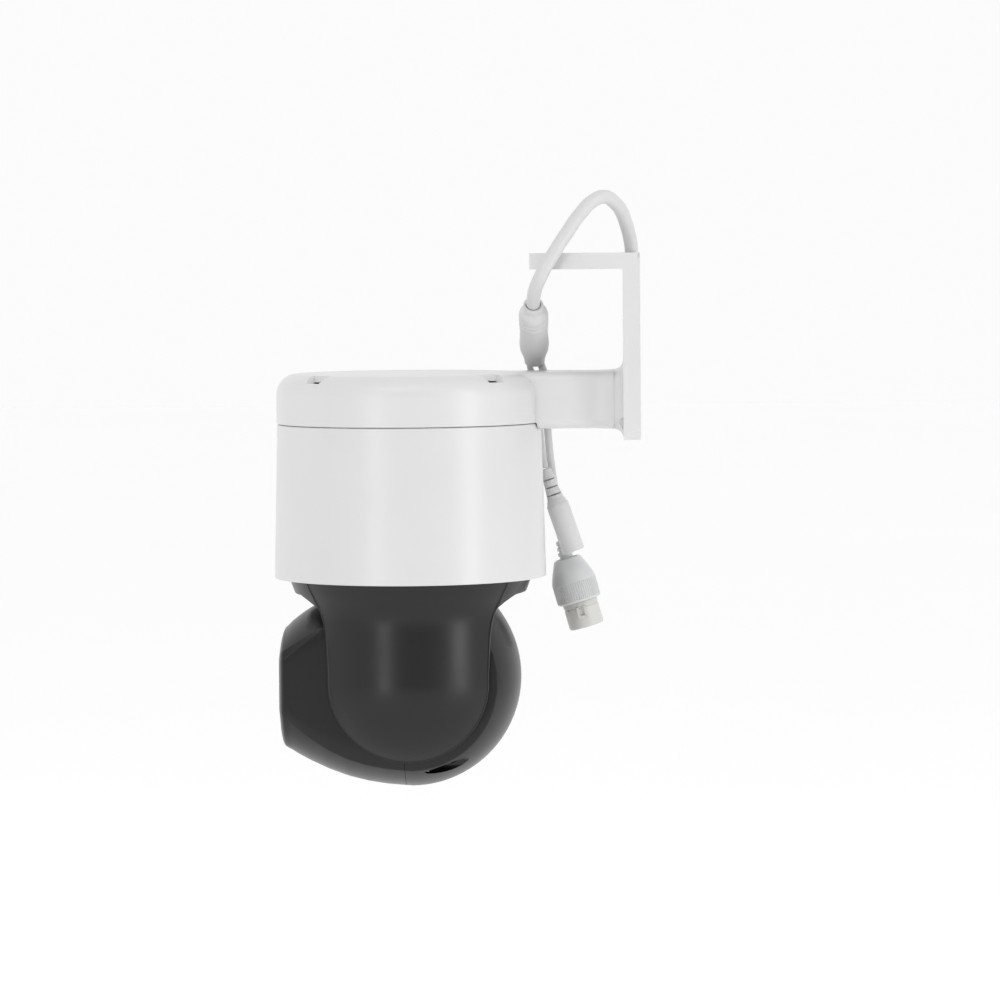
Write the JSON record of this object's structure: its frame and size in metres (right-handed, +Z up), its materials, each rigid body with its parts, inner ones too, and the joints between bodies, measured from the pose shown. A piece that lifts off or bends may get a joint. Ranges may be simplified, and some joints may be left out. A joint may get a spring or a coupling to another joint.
{
  "type": "ptz camera",
  "caption": "Small outdoor pan-tilt-zoom camera hanging from an arm on a wall and ceiling bracket, with a cable tail that splits into a power socket and a network socket.",
  "frame": {"origin": "on the wall face of the bracket, on the centreline of the camera's arm", "axes": "+Z up, +Y into the wall, the lens looks along -Y at rest, +X to the camera's left side as the lens sees it"},
  "size_m": [0.1194, 0.1613, 0.261],
  "materials": {
    "white_plastic": "satin moulded plastic, fine grain",
    "white_rubber": "soft satin cable jacket",
    "grey_plastic": "satin moulded plastic",
    "black_plastic": "satin moulded plastic, fine grain",
    "black_rubber": "matt",
    "tinted_window": "polished",
    "optical_glass": "polished, coated",
    "circuit_board": "solder mask",
    "aluminium": "plain machined",
    "brass": "machined",
    "nylon": "natural moulded",
    "steel": "bright zinc"
  },
  "bodies": {
    "root": {"wall_bracket": "white_plastic", "arm_screw_left": "steel", "arm_screw_right": "steel", "top_cover": "white_plastic", "cover_screw_1": "steel", "cover_screw_2": "steel", "cover_screw_3": "steel", "cover_screw_4": "steel", "cable_grommet": "black_rubber", "main_housing": "white_plastic", "housing_seal": "black_rubber", "chassis_plate": "aluminium", "chassis_screw_1": "steel", "chassis_screw_2": "steel", "chassis_screw_3": "steel", "main_board": "circuit_board", "board_heat_sink": "aluminium", "pan_bearing": "steel", "pan_motor": "steel", "held_cable": "white_rubber", "cable_loop": "white_rubber", "cable_splitter": "white_rubber", "dc_tail": "white_rubber", "dc_jack": "white_rubber", "dc_pin": "steel", "network_tail": "white_rubber", "network_boot": "grey_plastic", "network_nut": "grey_plastic", "network_socket": "grey_plastic"},
    "yoke": {"yoke_frame": "black_plastic", "yoke_cover_right": "black_plastic", "yoke_cover_left": "black_plastic", "tilt_axle_right": "steel", "tilt_axle_left": "steel", "tilt_gear": "nylon", "pan_gear": "nylon", "spindle_clip": "steel"},
    "head": {"head_front_shell": "black_plastic", "head_rear_shell": "black_plastic", "head_screw_left": "steel", "head_screw_right": "steel", "front_window": "tinted_window", "window_gasket": "black_rubber", "tilt_bush_left": "nylon", "tilt_bush_right": "nylon", "lens_barrel": "black_plastic", "front_lens": "optical_glass", "image_board": "circuit_board", "head_heat_sink": "aluminium", "lamp_board": "circuit_board", "lamp_lens_left": "optical_glass", "lamp_lens_right": "optical_glass", "tilt_motor": "steel"},
    "pan_pinion": {"pan_pinion": "brass"},
    "tilt_pinion": {"tilt_pinion": "brass"},
    "zoom_group": {"zoom_lens_group": "optical_glass"},
    "focus_group": {"focus_lens_group": "optical_glass"},
    "ir_filter": {"ir_cut_filter": "optical_glass"}
  },
  "joints": [
    {"name": "pan", "type": "hinge", "parent": "root", "child": "yoke", "pos_m": [0, -0.1016, -0.065], "axis": [0, 0, 1], "range_deg": [-170, 170]},
    {"name": "tilt", "type": "hinge", "parent": "yoke", "child": "head", "pos_m": [0, -0.1016, -0.12145], "axis": [1, 0, 0], "range_deg": [0, 90]},
    {"name": "pan_pinion_spin", "type": "hinge", "parent": "root", "child": "pan_pinion", "pos_m": [0.0234, -0.1016, -0.059], "axis": [0, 0, 1], "range_deg": [-620, 620]},
    {"name": "tilt_pinion_spin", "type": "hinge", "parent": "head", "child": "tilt_pinion", "pos_m": [-0.022, -0.08653, -0.13015], "axis": [1, 0, 0], "range_deg": [-5, 225]},
    {"name": "zoom", "type": "slide", "parent": "head", "child": "zoom_group", "axis": [0, 1, 0], "range_m": [0, 0.012]},
    {"name": "focus", "type": "slide", "parent": "head", "child": "focus_group", "axis": [0, 1, 0], "range_m": [0, 0.004]},
    {"name": "ir_filter_shift", "type": "slide", "parent": "head", "child": "ir_filter", "axis": [1, 0, 0], "range_m": [0, 0.012]}
  ],
  "couplings": [
    {"joint": "pan_pinion_spin", "follows": "pan", "ratio": -3.6},
    {"joint": "tilt_pinion_spin", "follows": "tilt", "ratio": 2.4}
  ]
}
